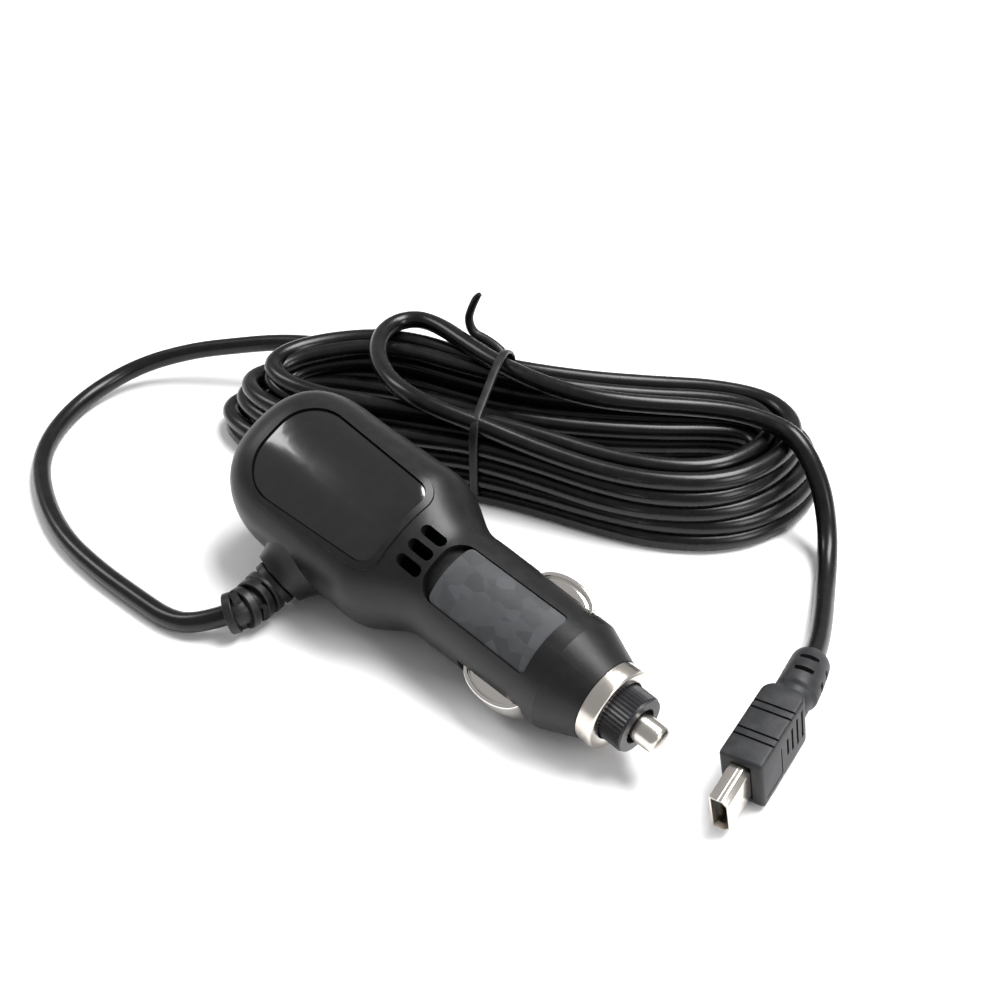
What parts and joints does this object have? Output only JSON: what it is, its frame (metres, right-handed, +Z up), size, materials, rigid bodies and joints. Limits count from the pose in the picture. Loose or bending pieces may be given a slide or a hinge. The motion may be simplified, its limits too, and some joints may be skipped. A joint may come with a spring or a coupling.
{
  "type": "car power adapter with cord",
  "caption": "Lighter-socket power adapter for a dash camera, with a fused screw cap, a cord tied in a hank and a mini-USB plug.",
  "frame": {"origin": "bottom centre of the adapter's own box, on the surface that it lies on", "axes": "+X along the adapter towards its tip, +Y away from its cord, +Z up"},
  "size_m": [0.1717, 0.1197, 0.0301],
  "materials": {
    "housing": "satin",
    "label": "gloss",
    "grip": "matte",
    "nickel": "satin",
    "cap": "satin",
    "spring_steel": "satin",
    "fuse_glass": "gloss",
    "copper": "satin",
    "board": "satin",
    "ferrite": "matte",
    "capacitor_sleeve": "gloss",
    "chip": "matte",
    "relief": "matte",
    "cord": "gloss",
    "tie": "satin",
    "overmould": "matte",
    "contact": "gloss",
    "screw": "satin"
  },
  "bodies": {
    "housing": {"upper_shell": "housing", "lower_shell": "housing", "label_plate": "label", "grip_inlay": "grip", "nose_ring": "nickel", "housing_screw": "screw", "plus_terminal": "spring_steel", "circuit_board": "board", "inductor_core": "ferrite", "inductor_winding": "copper", "input_capacitor": "capacitor_sleeve", "output_capacitor": "capacitor_sleeve", "controller_chip": "chip", "rectifier_diode": "chip", "strain_relief": "relief", "wire_positive": "tie", "wire_negative": "tie", "cord_adapter_lead": "cord", "cord_plug_lead": "cord", "cord_hank": "cord", "twist_tie": "tie", "usb_overmould": "overmould", "usb_shell": "nickel", "usb_tongue": "chip", "usb_contacts": "contact"},
    "fuse_carrier": {"fuse_glass": "fuse_glass", "fuse_front_cap": "nickel", "fuse_rear_cap": "nickel", "fuse_wire": "copper", "tip_spring": "spring_steel"},
    "cap": {"fuse_cap": "cap"},
    "tip": {"tip_contact": "nickel"},
    "ground_left": {"ground_spring_left": "spring_steel", "ground_strap_left": "copper"},
    "ground_right": {"ground_spring_right": "spring_steel", "ground_strap_right": "copper"}
  },
  "joints": [
    {"name": "cap_advance", "type": "slide", "parent": "housing", "child": "fuse_carrier", "axis": [0.9969, 0, -0.0785], "range_m": [0, 0.004]},
    {"name": "cap_turn", "type": "hinge", "parent": "fuse_carrier", "child": "cap", "pos_m": [0.03928, 0.0015, 0.00944], "axis": [0.9969, 0, -0.0785], "range_deg": [0, 1440]},
    {"name": "tip_press", "type": "slide", "parent": "fuse_carrier", "child": "tip", "axis": [-0.9969, 0, 0.0785], "range_m": [0, 0.0025], "stiffness_N_per_m": 800, "springref_m": -0.001, "deforming": ["tip_spring"]},
    {"name": "ground_left_press", "type": "slide", "parent": "housing", "child": "ground_left", "axis": [-0.0386, -0.8704, -0.4909], "range_m": [0, 0.002], "stiffness_N_per_m": 2500, "springref_m": -0.0005},
    {"name": "ground_right_press", "type": "slide", "parent": "housing", "child": "ground_right", "axis": [0.0386, 0.8704, 0.4909], "range_m": [0, 0.002], "stiffness_N_per_m": 2500, "springref_m": -0.0005}
  ],
  "couplings": [
    {"joint": "cap_turn", "follows": "cap_advance", "rad_per_m": 6283.2}
  ]
}
